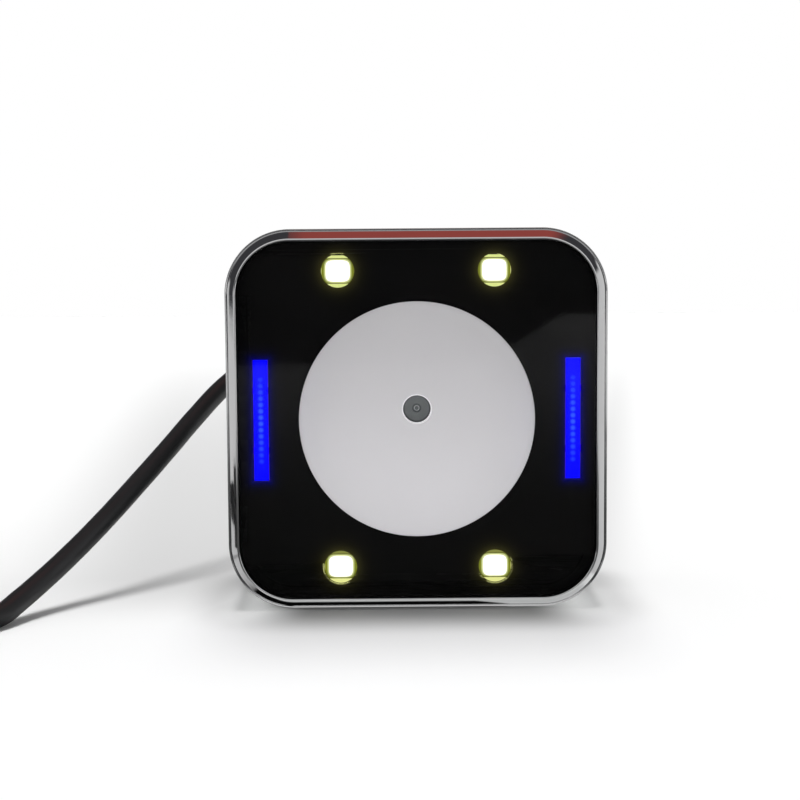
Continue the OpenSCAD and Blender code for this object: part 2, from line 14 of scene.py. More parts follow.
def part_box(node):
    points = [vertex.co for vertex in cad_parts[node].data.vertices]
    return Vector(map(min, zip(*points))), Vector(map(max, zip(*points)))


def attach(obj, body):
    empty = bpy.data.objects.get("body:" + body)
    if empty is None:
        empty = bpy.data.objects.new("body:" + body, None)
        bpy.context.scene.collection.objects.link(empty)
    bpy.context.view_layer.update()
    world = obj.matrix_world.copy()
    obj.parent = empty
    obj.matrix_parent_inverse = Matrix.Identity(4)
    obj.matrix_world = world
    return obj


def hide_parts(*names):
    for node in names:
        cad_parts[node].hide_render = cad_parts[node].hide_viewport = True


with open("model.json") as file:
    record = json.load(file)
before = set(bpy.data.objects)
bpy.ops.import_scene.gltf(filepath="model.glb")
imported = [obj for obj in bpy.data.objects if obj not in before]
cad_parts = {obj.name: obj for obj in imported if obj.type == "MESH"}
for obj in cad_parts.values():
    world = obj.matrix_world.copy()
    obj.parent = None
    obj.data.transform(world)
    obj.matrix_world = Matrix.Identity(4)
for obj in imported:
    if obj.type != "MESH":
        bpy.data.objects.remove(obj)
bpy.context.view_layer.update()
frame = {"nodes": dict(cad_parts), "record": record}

MM = 0.001
scene = bpy.context.scene


def node_box(name):
    """Lowest and highest corners of a CAD node, in millimetres."""
    low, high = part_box(name)
    return low / MM, high / MM


bezel_low, bezel_high = node_box("bezel")
shell_high = node_box("rear_shell")[1]
HALF = (bezel_high.x - bezel_low.x) / 2
FRONT_Y = bezel_low.y
FACE_Z = (bezel_low.z + bezel_high.z) / 2
BEZEL_D = bezel_high.y - FRONT_Y
BODY_D = shell_high.y - FRONT_Y

# The housing's section, as part.scad has it: distances from the middle
CORNER_C = 21.7
POCKET = HALF - 2.05
PANE = POCKET - 0.1
LIP = POCKET + 0.35
FOOT = HALF - 0.3
LEDGE = HALF - 3.6
TONGUE = POCKET - 0.2
TONGUE_IN = TONGUE - 1.6
SHELL_IN = HALF - 2

# The section's depths, and the thickness of the back wall
FLANK_D = 2
WINDOW_F = 0.2
FILM_F = 2.2
FRAME_F = 2.4
LEDGE_F = 2.75
PILLAR_F = 3.95
PILLAR_END = BEZEL_D - 0.2
TONGUE_F = 7.15
SHELL_F = BEZEL_D + 0.4
REVEAL_END = SHELL_F + 2
SCREW_SEAT = 19
BACK_T = 2.4
BACK_IN = BODY_D - BACK_T
BOOT_SEAT = BODY_D - 1.4

# The housing's curves, pillars, screws, threaded inserts and sound holes
FLANK_R = 10
BACK_ROUND = 1.5
PILLAR_AT = 26.4
PILLAR_R = 3
PILLAR_ROOT = 0.2
BOSS_R = 3.2
SCREW_R = 1.15
SCREW_HOLE_R = SCREW_R + 0.2
SCREW_BORE_R = 2.6
MOUNT_AT = 20
INSERT_R = 2.1
INSERT_LEN = 4.5
INSERT_BOSS_R = 3.4
SOUND_AT = (12, -12)
SOUND_R = 0.6
SOUND_RING_R = 2.4
SOUND_RING_HOLES = 6

# Print openings, eye, lamps and status bars
DISC_R = 20.5
DISC_RIM = 1.4
DISC_T = 1.2
EYE_R = 2.4
EYE_Z = 1.8
EYE_BEVEL = 0.2
LAMP_AT = (13.5, 25.8)
LAMP_R = 2.85
LAMP_LENS = (4.2, 3.7)
LAMP_BODY = (5.6, 4.4)
WELL_R = 2.95
BAR_X = 27.1
BAR_SIZE = (2.8, 21.2)
BAR_LEDS = 14
BAR_LED_PITCH = 1.1

# Lead, whose whole length is in metres, and its boot
EXIT_Z = 13
CORD_R = 1.9
BOOT_LEN = 14
BOOT_TIP_LEN = 1.5
BOOT_R = 4
BOOT_TIP_R = 2.7
BOOT_FLANGE_R = 5.6
BOOT_FLANGE_T = 1.3
BOOT_COLLAR_R = 5.2

# Coil: its axis, the radius of its outer row, the rows in a layer, and its layers and turns
COIL_AT = (-100.4, -17)
COIL_OUTER = 22.8
COIL_ROWS = 3
COIL_LAYERS = 4
COIL_TURNS = 10.25

# Winding, counted in turns: where the first row ends, how long a layer and a change of row take, and how
# far past its first row a layer climbs and for how long
ROW_END = 0.75
LAYER_TURNS = 2.57
ROW_CHANGE = 0.2
CLIMB_AT = 1.79
CLIMB_TURNS = 0.22

# Strap: the height and the radii of the space inside it, its thickness, and half its width in degrees
COIL_H = 15.2
COIL_IN = 13.3
COIL_OUT = 24.7
STRAP_T = 0.8
STRAP_HALF_ANGLE = 9

# The lead's free stretches, before and after the coil
LEAD_ROUTE = [
    (0, 13.6, 46), (0, 18, 46), (0, 24, 46), (0, 31, 46), (-2, 39, 46), (-8, 45, 45.2),
    (-16, 47, 44), (-24, 44.5, 42.4), (-30.5, 38.5, 40.2), (-35, 31.5, 38), (-37.8, 27, 36),
    (-43, 18.5, 30.3), (-46.9, 12, 25.5), (-51.6, 4.2, 19.9), (-57.4, -5, 13.3), (-62.3, -12.4, 8.3),
    (-65.5, -17.8, 5.4), (-67.8, -22.6, 3.5), (-69.9, -27.8, 2.1), (-73.2, -33, 1.9), (-78.6, -37.3, 1.9),
    (-86, -39.6, 1.9), (-93, -39.8, 1.9),
]
TAIL_ROUTE = [
    (-123.1, -13, 12.8), (-122.6, -9, 11.3), (-121.7, -5.2, 8.7),
    (-120.7, -1.6, 6.1), (-119.9, 2.2, 4.5), (-119.6, 6, 3.9), (-119.6, 9, 3.9),
]

# Camera: where the photograph was taken from, its tilts in degrees and its focal length in pixels
CAMERA_AT = (-4, -272, 59.4)
CAMERA_PITCH = 5.1
CAMERA_YAW = -0.24
CAMERA_ROLL = -0.43
FOCAL_PX = 1490
FRAME_PX = 800
SENSOR = 36

# Table top: how far it reaches each way, and its front edge, which the window mirrors as the table's end
TABLE = 1600
TABLE_FRONT = [(-TABLE, -675), (40, -675), (90, -910), (205, -TABLE)]


def spot(x, y, z):
    """A point of the row frame, in metres."""
    return Vector((x, y, z)) * MM


def place(x, z, depth):
    """A point on the housing, in metres."""
    return spot(x, FRONT_Y + depth, FACE_Z + z)


def make_camera():
    """Camera that stands and looks as the photograph's did."""
    data = bpy.data.cameras.new("camera")
    data.sensor_width = SENSOR
    data.lens = SENSOR * FOCAL_PX / FRAME_PX
    data.clip_start = 0.005
    data.clip_end = 20
    camera = bpy.data.objects.new("camera", data)
    yaw = Matrix.Rotation(math.radians(CAMERA_YAW), 4, "Z")
    pitch = Matrix.Rotation(math.radians(90 - CAMERA_PITCH), 4, "X")
    roll = Matrix.Rotation(math.radians(CAMERA_ROLL), 4, "Z")
    camera.matrix_world = Matrix.Translation(spot(*CAMERA_AT)) @ yaw @ pitch @ roll
    scene.collection.objects.link(camera)
    scene.camera = camera


make_camera()


# Node trees

class Tree:
    """Short calls for building a node tree."""

    def __init__(self, owner):
        owner.use_nodes = True
        self.tree = owner.node_tree
        self.tree.nodes.clear()

    def feed(self, socket, value):
        if isinstance(value, bpy.types.NodeSocket):
            self.tree.links.new(value, socket)
        else:
            socket.default_value = value

    def add(self, kind, inputs=None, **settings):
        node = self.tree.nodes.new(kind)
        for name, value in settings.items():
            setattr(node, name, value)
        for name, value in (inputs or {}).items():
            self.feed(node.inputs[name], value)
        return node

    def math(self, operation, *values, clamp=False):
        node = self.add("ShaderNodeMath", dict(enumerate(values)), operation=operation, use_clamp=clamp)
        return node.outputs[0]

    def product(self, value, *others):
        for other in others:
            value = self.math("MULTIPLY", value, other)
        return value

    def largest(self, value, *others):
        for other in others:
            value = self.math("MAXIMUM", value, other)
        return value

    def away(self, value, middle):
        """How far value is from middle."""
        return self.math("ABSOLUTE", self.math("SUBTRACT", value, middle))

    def beyond(self, value, limit):
        """How far value is past limit, or 0 before it."""
        return self.largest(self.math("SUBTRACT", value, limit), 0.0)

    def length(self, a, b):
        """Length of the vector (a, b)."""
        return self.math("SQRT", self.math("ADD", self.math("POWER", a, 2.0), self.math("POWER", b, 2.0)))

    def ramp(self, value, start, end, low=0.0, high=1.0):
        """value taken smoothly from start..end to low..high."""
        node = self.add("ShaderNodeMapRange", {0: value, 1: start, 2: end, 3: low, 4: high})
        node.interpolation_type = "SMOOTHSTEP"
        return node.outputs[0]

    def between(self, value, low, high, soft):
        """1 where low < value < high and 0 elsewhere, with each limit spread over soft to both sides."""
        up = self.ramp(value, low - soft, low + soft)
        down = self.ramp(value, high - soft, high + soft)
        return self.math("SUBTRACT", up, down, clamp=True)

    def fade(self, distance, reach):
        """1 at distance 0, fading away over about reach."""
        return self.math("EXPONENT", self.math("DIVIDE", self.product(distance, -1.0), reach))

    def mix(self, share, a, b):
        """Colour between a and b."""
        node = self.add("ShaderNodeMix", data_type="RGBA")
        sockets = [s for s in node.inputs if s.enabled]
        for socket, value in zip(sockets, (share, a, b)):
            self.feed(socket, value)
        return next(s for s in node.outputs if s.enabled)

    def mix_value(self, share, a, b):
        """Number between a and b."""
        return self.add("ShaderNodeMix", {0: share, 2: a, 3: b}).outputs[0]

    def scaled(self, vector, factor):
        return self.add("ShaderNodeVectorMath", {0: vector, "Scale": factor}, operation="SCALE").outputs[0]

    def coordinates(self, kind="Object"):
        return self.add("ShaderNodeTexCoord").outputs[kind]

    def parts(self, vector):
        """The three parts of a vector."""
        return self.add("ShaderNodeSeparateXYZ", {0: vector}).outputs[:3]

    def position(self):
        """x, y and z in the row frame, in millimetres."""
        return [self.math("DIVIDE", part, MM) for part in self.parts(self.coordinates())]

    def noise(self, scale, detail=3.0, rough=0.55):
        """Noise with about that many waves per metre."""
        node = self.add("ShaderNodeTexNoise", {
            "Vector": self.coordinates(), "Scale": scale, "Detail": detail, "Roughness": rough,
        })
        return node.outputs["Fac"]

    def varied(self, noise, low, high):
        """Number from low to high that follows a noise, most of which lies between 0.3 and 0.7."""
        return self.ramp(noise, 0.3, 0.7, low, high)

    def bump(self, height, relief, strength=1.0):
        """Normal for bumps that stand that many millimetres high."""
        node = self.add("ShaderNodeBump", {"Height": height, "Distance": relief * MM, "Strength": strength})
        return node.outputs["Normal"]

    def output(self, shader, kind="ShaderNodeOutputMaterial"):
        self.add(kind, {"Surface": shader})

    def principled(self, inputs):
        self.output(self.add("ShaderNodeBsdfPrincipled", inputs).outputs[0])


def colour(r, g, b):
    return (r, g, b, 1.0)


BLACK = colour(0.0, 0.0, 0.0)
WHITE = colour(1.0, 1.0, 1.0)


# Places on the face, for materials

def face_places(t):
    """|x|, |z| and z from the face's middle, in millimetres."""
    x, _, z = t.position()
    z = t.math("SUBTRACT", z, FACE_Z)
    return t.math("ABSOLUTE", x), t.math("ABSOLUTE", z), z


def lamp_away(t):
    """Distance from the nearest corner lamp's axis, in millimetres."""
    x, z, _ = face_places(t)
    return t.length(t.away(x, LAMP_AT[0]), t.away(z, LAMP_AT[1]))


def lens_away(t):
    """Distance from the nearest lamp's axis, measured along a soft square that is 1 at the lens's edge."""
    x, z, _ = face_places(t)
    across = t.math("DIVIDE", t.away(x, LAMP_AT[0]), LAMP_LENS[0] / 2)
    up = t.math("DIVIDE", t.away(z, LAMP_AT[1]), LAMP_LENS[1] / 2)
    return t.length(t.math("POWER", across, 2.0), t.math("POWER", up, 2.0))


def in_well(t):
    """1 inside a lamp's well and on its wall."""
    return t.ramp(lamp_away(t), WELL_R + 0.3, WELL_R + 0.1)


def eye_away(t):
    """Distance from the eye's axis, in millimetres."""
    x, _, z = face_places(t)
    return t.length(x, t.math("SUBTRACT", z, EYE_Z))


# Materials

def material(name):
    made = bpy.data.materials.new(name)
    return made, Tree(made)


def surface(name, tone, spread=0.12, rough=(0.4, 0.55), metal=0.0, patch=90, grain=2500, relief=0.02):
    """Plastic or metal whose tone and gloss vary in soft patches of 1/patch metres, over a fine grain."""
    made, t = material(name)
    patches = t.noise(patch)
    darker = [c * (1 - spread) for c in tone]
    lighter = [min(1.0, c * (1 + spread)) for c in tone]
    t.principled({
        "Base Color": t.mix(patches, colour(*darker), colour(*lighter)),
        "Roughness": t.varied(patches, *rough),
        "Metallic": metal,
        "Normal": t.bump(t.noise(grain, detail=2.0), relief),
    })
    return made


def chrome():
    """Plated plastic, with a faint haze and a slightly wavy surface."""
    made, t = material("bright_chrome")
    haze = t.noise(160, detail=5.0)
    t.principled({
        "Base Color": t.mix(haze, colour(0.53, 0.53, 0.535), colour(0.6, 0.6, 0.605)),
        "Metallic": 1.0,
        "Roughness": t.ramp(haze, 0.35, 0.75, 0.05, 0.14),
        "Normal": t.bump(t.noise(45, detail=1.0), 0.03, strength=0.5),
    })
    return made


def pane():
    """Clear acrylic, coated to mirror less: the Fresnel share is mirrored and the rest goes straight on."""
    made, t = material("clear_window")
    smear = t.noise(70, detail=6.0, rough=0.7)
    mirror = t.add("ShaderNodeBsdfGlossy", {"Color": WHITE, "Roughness": t.ramp(smear, 0.4, 0.8, 0.02, 0.07)})
    clear = t.add("ShaderNodeBsdfTransparent", {"Color": colour(0.975, 0.972, 0.975)})
    share = t.add("ShaderNodeFresnel", {"IOR": 1.3}).outputs[0]
    t.output(t.add("ShaderNodeMixShader", {0: share, 1: clear.outputs[0], 2: mirror.outputs[0]}).outputs[0])
    return made


def pane_back():
    """The pane's back, where the print and the tape are bonded to it."""
    made, t = material("clear_window_back")
    t.output(t.add("ShaderNodeBsdfTransparent", {"Color": colour(0.98, 0.98, 0.98)}).outputs[0])
    return made


def pane_edge():
    """The pane's edge, inked black so that no light gets in beside the print."""
    made, t = material("clear_window_edge")
    t.principled({
        "Base Color": t.mix(t.noise(200), colour(0.003, 0.003, 0.003), colour(0.006, 0.006, 0.006)),
        "Roughness": 0.6,
        "Specular IOR Level": 0.01,
    })
    return made


def film():
    """Black print, with a painted glow of the lamps and bars round their openings."""
    made, t = material("gloss_black_film")
    x, z, _ = face_places(t)
    from_lamp = t.math("SUBTRACT", lamp_away(t), LAMP_R)
    beside = t.beyond(t.away(x, BAR_X), BAR_SIZE[0] / 2)
    from_bar = t.length(beside, t.beyond(z, BAR_SIZE[1] / 2))
    # Painted glow: the lamps' and bars' light on the print, fading away from their openings
    light = t.add("ShaderNodeVectorMath", {
        0: t.scaled((0.035, 0.032, 0.008), t.fade(from_lamp, 0.7)),
        1: t.scaled((0.0, 0.0, 0.12), t.fade(from_bar, 0.45)),
    }, operation="ADD").outputs[0]
    t.principled({
        "Base Color": t.mix(t.noise(60), colour(0.003, 0.0035, 0.0035), colour(0.006, 0.005, 0.005)),
        "Roughness": t.varied(t.noise(120), 0.45, 0.6),
        "Specular IOR Level": 0.01,
        "Emission Color": light,
        "Emission Strength": 1.0,
    })
    return made


def opal():
    """White disc with a painted glow that grows towards its foot, and a painted bright ring at the bevel
    round the eye.
    """
    made, t = material("opal_white")
    _, _, z = face_places(t)
    bevel = t.between(eye_away(t), EYE_R - 0.1, EYE_R + EYE_BEVEL, 0.04)
    # Painted glow, brighter towards the foot, and a painted bright ring on the eye's bevel
    light = t.math("ADD", t.ramp(z, 16.0, -DISC_R, 0.01, 0.17), t.product(bevel, 0.3))
    t.principled({
        "Base Color": t.mix(t.noise(60), colour(0.78, 0.772, 0.785), colour(0.83, 0.822, 0.838)),
        "Roughness": t.varied(t.noise(300), 0.42, 0.56),
        "Normal": t.bump(t.noise(3000, detail=2.0), 0.008),
        "Subsurface Weight": 0.2,
        "Subsurface Radius": (0.002, 0.002, 0.002),
        "Subsurface Scale": 0.5,
        "Emission Color": t.mix(light, BLACK, colour(0.97, 0.96, 1.0)),
        "Emission Strength": 1.0,
    })
    return made


def lamp_lens():
    """Silicone lens of a lit lamp, brightest over its chip."""
    made, t = material("lamp_lens")
    edge = t.ramp(lens_away(t), 0.75, 1.15)
    t.principled({
        "Base Color": colour(0.3, 0.3, 0.1),
        "Roughness": 0.25,
        "Emission Color": t.mix(edge, colour(1.0, 1.0, 0.95), colour(0.1, 0.11, 0.01)),
        "Emission Strength": 2.0,
    })
    return made


def lamp_package():
    """Lamp package, with painted light that its phosphor throws on it: pale beside the lens, olive
    further out and dark at its upper and lower edges."""
    made, t = material("lamp_ceramic")
    _, z, _ = face_places(t)
    half = LAMP_BODY[1] / 2
    edge = t.ramp(t.away(z, LAMP_AT[1]), half - 0.2, half - 0.08)
    olive = t.mix(t.ramp(lamp_away(t), 2.0, 2.8), colour(0.26, 0.3, 0.0), colour(0.1, 0.125, 0.0))
    lit = t.mix(t.ramp(lens_away(t), 0.95, 1.4), colour(0.75, 0.8, 0.45), olive)
    t.principled({
        "Base Color": t.mix(t.noise(400), colour(0.09, 0.09, 0.003), colour(0.12, 0.12, 0.005)),
        "Roughness": 0.45,
        # Painted light: emission that stands for the phosphor's light on the package
        "Emission Color": t.mix(edge, lit, colour(0.04, 0.045, 0.005)),
        "Emission Strength": 1.0,
    })
    return made


def moulding():
    """Black moulded frame, with painted light from the lamps on the walls of their wells."""
    made, t = material("black_moulding")
    patches = t.noise(90)
    t.principled({
        "Base Color": t.mix(patches, colour(0.016, 0.016, 0.017), colour(0.02, 0.02, 0.021)),
        "Roughness": t.varied(patches, 0.4, 0.6),
        "Normal": t.bump(t.noise(1600, detail=2.0), 0.02),
        # Painted light from the lamps on the walls of their wells
        "Emission Color": t.mix(in_well(t), BLACK, colour(0.8, 0.82, 0.3)),
        "Emission Strength": 1.0,
    })
    return made


def barrel_metal():
    """Matt anodised barrel, with painted shade where its face goes under the disc."""
    made, t = material("lens_metal")
    patches = t.noise(500)
    tone = t.mix(patches, colour(0.15, 0.165, 0.165), colour(0.18, 0.195, 0.195))
    t.principled({
        # Painted shade where the face goes under the disc
        "Base Color": t.mix(t.ramp(eye_away(t), 2.05, 2.3), tone, colour(0.05, 0.055, 0.055)),
        "Roughness": t.varied(patches, 0.5, 0.6),
        "Normal": t.bump(t.noise(2500, detail=2.0), 0.004),
    })
    return made


def lens_glass():
    """Small front lens, with a painted reflection: the ring of light that its coating returns."""
    made, t = material("lens_glass")
    ring = t.between(eye_away(t), 0.36, 0.46, 0.05)
    t.principled({
        # Painted reflection: a lighter ring where the coating returns light
        "Base Color": t.mix(ring, colour(0.13, 0.145, 0.145), colour(0.5, 0.52, 0.52)),
        "Roughness": t.varied(t.noise(90), 0.03, 0.08),
    })
    return made


def light_guide():
    """Blue status bar, dark at its sides, with the row of lights behind it showing through as soft dots."""
    made, t = material("blue_light_guide")
    x, z_abs, z = face_places(t)
    row = BAR_LEDS * BAR_LED_PITCH / 2
    beside = t.away(x, BAR_X)
    step = t.math("FRACT", t.math("DIVIDE", t.math("ADD", z, row), BAR_LED_PITCH))
    from_led = t.length(beside, t.product(t.math("SUBTRACT", step, 0.5), BAR_LED_PITCH))
    in_row = t.ramp(z_abs, row, row - 0.3)
    dot = t.product(t.ramp(from_led, 0.62, 0.12), in_row, t.ramp(z_abs, 8.5, 0.0, 0.35, 1.0))
    side = t.ramp(beside, BAR_SIZE[0] / 2 - 0.25, BAR_SIZE[0] / 2 - 0.02)
    body = t.mix(side, colour(0.0, 0.0, 1.0), colour(0.03, 0.0, 0.3))
    t.principled({
        "Base Color": colour(0.0, 0.0, 0.4),
        "Roughness": 0.3,
        "Specular IOR Level": 0.02,
        "Emission Color": t.mix(dot, body, colour(0.035, 0.12, 1.0)),
        "Emission Strength": 0.95,
    })
    return made


def solder_mask():
    """Green board: solder mask over copper tracks and ground areas, with painted light from the lamps in
    their wells.
    """
    made, t = material("green_board")
    cells = t.add("ShaderNodeTexVoronoi", {
        "Vector": t.coordinates(), "Scale": 420.0, "Randomness": 0.35,
    }, feature="DISTANCE_TO_EDGE", distance="EUCLIDEAN").outputs["Distance"]
    track = t.ramp(cells, 0.08, 0.14)
    t.principled({
        "Base Color": t.mix(track, colour(0.012, 0.09, 0.035), colour(0.02, 0.17, 0.07)),
        "Roughness": t.varied(t.noise(200), 0.25, 0.4),
        "Normal": t.bump(track, 0.02),
        # Painted light from the lamps in their wells
        "Emission Color": t.mix(in_well(t), BLACK, colour(0.75, 0.78, 0.28)),
        "Emission Strength": 1.0,
    })
    return made


def strap_weave():
    """Hook-and-loop band: ribs of short loops."""
    made, t = material("strap_fabric")
    loops = t.noise(2200, detail=4.0, rough=0.8)
    rows = t.add("ShaderNodeTexWave", {
        "Vector": t.coordinates(), "Scale": 350.0, "Distortion": 1.2, "Detail": 2.0,
    }, bands_direction="Y").outputs["Fac"]
    t.principled({
        "Base Color": t.mix(loops, colour(0.012, 0.012, 0.013), colour(0.045, 0.045, 0.048)),
        "Roughness": 0.92,
        "Sheen Weight": 0.4,
        "Sheen Roughness": 0.5,
        "Normal": t.bump(t.math("ADD", t.product(rows, 0.5), loops), 0.12),
    })
    return made


# Plain plastics and metals: the slot's tone, and what differs from surface()'s usual values
PLAIN = {
    "black_foam": dict(tone=(0.025, 0.025, 0.026), rough=(0.85, 0.95), grain=1800, relief=0.05),
    "blue_led": dict(tone=(0.2, 0.4, 0.9), rough=(0.2, 0.3)),
    "black_rubber": dict(tone=(0.02, 0.02, 0.02), rough=(0.6, 0.8)),
    "sensor_glass": dict(tone=(0.05, 0.08, 0.12), rough=(0.05, 0.12), relief=0.0),
    "steel": dict(tone=(0.5, 0.5, 0.51), rough=(0.22, 0.38), metal=1.0, patch=400, relief=0.006),
    "ivory_nylon": dict(tone=(0.72, 0.68, 0.56), spread=0.05, rough=(0.4, 0.5)),
    "orange_film": dict(tone=(0.55, 0.2, 0.03), spread=0.1, rough=(0.25, 0.4)),
    "brass": dict(
        tone=(0.72, 0.53, 0.24), spread=0.08, rough=(0.2, 0.35), metal=1.0, patch=400, relief=0.006,
    ),
    "chip_black": dict(tone=(0.022, 0.022, 0.024), rough=(0.5, 0.65), grain=5000),
    "capacitor_tan": dict(tone=(0.45, 0.32, 0.18), rough=(0.5, 0.6)),
    "wire_red": dict(tone=(0.45, 0.03, 0.03), rough=(0.3, 0.4)),
    "shell_black": dict(tone=(0.02, 0.02, 0.021), rough=(0.5, 0.66), patch=60, grain=2600, relief=0.05),
    "cord_black": dict(tone=(0.016, 0.016, 0.017), rough=(0.38, 0.52), patch=120, grain=2200, relief=0.012),
    "plug_black": dict(tone=(0.02, 0.02, 0.021), rough=(0.42, 0.55), grain=3000, relief=0.03),
    "plug_steel": dict(
        tone=(0.62, 0.62, 0.63), spread=0.06, rough=(0.16, 0.3), metal=1.0, patch=300, relief=0.005,
    ),
    "plug_white": dict(tone=(0.8, 0.8, 0.79), spread=0.03, rough=(0.4, 0.5)),
    "plug_gold": dict(tone=(0.85, 0.62, 0.26), spread=0.05, rough=(0.15, 0.25), metal=1.0, relief=0.003),
}
materials = {name: surface(name, **values) for name, values in PLAIN.items()}
materials.update({
    "bright_chrome": chrome(),
    "clear_window": pane(),
    "gloss_black_film": film(),
    "opal_white": opal(),
    "black_moulding": moulding(),
    "blue_light_guide": light_guide(),
    "green_board": solder_mask(),
    "lamp_ceramic": lamp_package(),
    "lamp_lens": lamp_lens(),
    "lens_metal": barrel_metal(),
    "lens_glass": lens_glass(),
    "strap_fabric": strap_weave(),
})
slot_of = {part["node"]: part["material_slot"] for part in frame["record"]["subparts"]}


# Shapes: each is a list of points in metres and a list of faces

def outline(half):
    """Rounded square that far from the middle, whose corners share their centres with the housing's."""
    steps = 40
    radius = half - CORNER_C
    points = []
    for corner, (sx, sz) in enumerate([(1, 1), (-1, 1), (-1, -1), (1, -1)]):
        for i in range(steps + 1):
            a = math.radians(90 * (corner + i / steps))
            points.append((sx * CORNER_C + radius * math.cos(a), sz * CORNER_C + radius * math.sin(a)))
    return points


def circle(radius, x=0.0, z=0.0, steps=96):
    turn = 2 * math.pi / steps
    return [(x + radius * math.cos(i * turn), z + radius * math.sin(i * turn)) for i in range(steps)]


def rectangle(width, height, x):
    """Rectangle at the height of the face's middle."""
    w = width / 2
    h = height / 2
    return [(x + w, h), (x - w, h), (x - w, -h), (x + w, -h)]


def at_depth(loop, depth):
    return [place(x, z, depth) for x, z in loop]


def band(rings, closed=False, ends=False):
    """Quads between rings of as many points each, closed back to the first ring or with flat ends."""
    n = len(rings[0])
    points = [p for ring in rings for p in ring]
    faces = []
    for i in range(len(rings) if closed else len(rings) - 1):
        a = i * n
        b = (i + 1) % len(rings) * n
        faces += [(a + k, a + (k + 1) % n, b + (k + 1) % n, b + k) for k in range(n)]
    if ends:
        faces += [tuple(range(n)), tuple(range(len(points) - n, len(points)))]
    return points, faces


def flat(loops, depth):
    """Flat face inside the first loop, with the other loops as holes."""
    points = [p for loop in loops for p in at_depth(loop, depth)]
    faces = tessellate_polygon([[Vector((x, z, 0)) for x, z in loop] for loop in loops])
    return points, [tuple(f) for f in faces]


def plate(loops, front, back):
    """Flat piece inside the first loop, with the other loops as holes right through it."""
    walls = [band([at_depth(loop, front), at_depth(loop, back)]) for loop in loops]
    return [flat(loops, front), flat(loops, back), *walls]


def rim(profile):
    """Ring round the housing, swept from a closed profile of (distance from middle, depth)."""
    return band([at_depth(outline(u), depth) for u, depth in profile], closed=True)


def turned(profile, x, z, steps):
    """Ring turned about an axis square to the window, from a closed profile of (radius, depth)."""
    return band([at_depth(circle(r, x, z, steps), depth) for r, depth in profile], closed=True)


def arc(centre, radius, start, end, steps):
    """Points on an arc of a profile, with angles in degrees from outward towards the back."""
    angles = [math.radians(start + (end - start) * i / steps) for i in range(steps + 1)]
    return [(centre[0] + radius * math.cos(a), centre[1] + radius * math.sin(a)) for a in angles]


def four(x, z):
    """The four places at that distance from the middle, across and up or down."""
    return [(i * x, j * z) for i in (-1, 1) for j in (-1, 1)]


def piece(name, shapes, slot, nodes, crease=35):
    """Object made of those shapes, that stands for those CAD nodes. Edges over crease degrees stay sharp."""
    mesh_data = bmesh.new()
    for points, faces in shapes:
        corners = [mesh_data.verts.new(p) for p in points]
        for face in faces:
            mesh_data.faces.new([corners[i] for i in face])
    bmesh.ops.remove_doubles(mesh_data, verts=mesh_data.verts, dist=1e-7)
    bmesh.ops.recalc_face_normals(mesh_data, faces=mesh_data.faces)
    mesh = bpy.data.meshes.new(name)
    mesh_data.to_mesh(mesh)
    mesh_data.free()
    mesh.shade_smooth()
    mesh.set_sharp_from_angle(angle=math.radians(crease))
    mesh.materials.append(materials[slot])
    obj = bpy.data.objects.new(name, mesh)
    scene.collection.objects.link(obj)
    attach(obj, "root")
    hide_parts(*nodes)
    return obj


def even_normals(obj):
    """Shade the object's small roundings without bending the light on the flats beside them."""
    modifier = obj.modifiers.new("normals", "WEIGHTED_NORMAL")
    modifier.keep_sharp = True
    modifier.weight = 100


# Lead

def ease(t):
    """Smooth step from 0 at t = 0 to 1 at t = 1."""
    t = min(1.0, max(0.0, t))
    return t * t * (3 - 2 * t)


def about_coil(radius, angle, height):
    """A point at that distance and angle from the coil's axis, in millimetres."""
    return (COIL_AT[0] + radius * math.cos(angle), COIL_AT[1] + radius * math.sin(angle), height)


def coil_point(turn):
    """Place on the coil that many turns in: three rows inward, a layer up, three rows outward, and so on."""
    across = 2 * CORD_R
    radius = COIL_OUTER
    height = CORD_R
    for layer in range(COIL_LAYERS):
        start = ROW_END + LAYER_TURNS * layer
        side = across if layer % 2 else -across
        radius += sum(side * ease((turn - start - row) / ROW_CHANGE + 0.5) for row in range(COIL_ROWS - 1))
        if layer < COIL_LAYERS - 1:
            height += across * ease((turn - start - CLIMB_AT) / CLIMB_TURNS + 0.5)
    return about_coil(radius, math.radians(270 - 360 * turn), height)


def make_lead():
    """The whole lead as one round curve: from the boot to the coil, round it, and on to the plug."""
    per_turn = 20
    coil = [coil_point(i / per_turn) for i in range(round(COIL_TURNS * per_turn) + 1)]
    route = LEAD_ROUTE + coil + TAIL_ROUTE
    data = bpy.data.curves.new("lead", "CURVE")
    data.dimensions = "3D"
    data.bevel_depth = CORD_R * MM
    data.bevel_resolution = 5
    data.resolution_u = 5
    data.use_fill_caps = True
    spline = data.splines.new("BEZIER")
    spline.bezier_points.add(len(route) - 1)
    for point, at in zip(spline.bezier_points, route):
        point.co = spot(*at)
        point.handle_left_type = point.handle_right_type = "AUTO"
    data.materials.append(materials["cord_black"])
    lead = bpy.data.objects.new("lead", data)
    scene.collection.objects.link(lead)
    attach(lead, "root")
    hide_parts("cord_lead", "cord_coil", "cord_tail")
    return lead


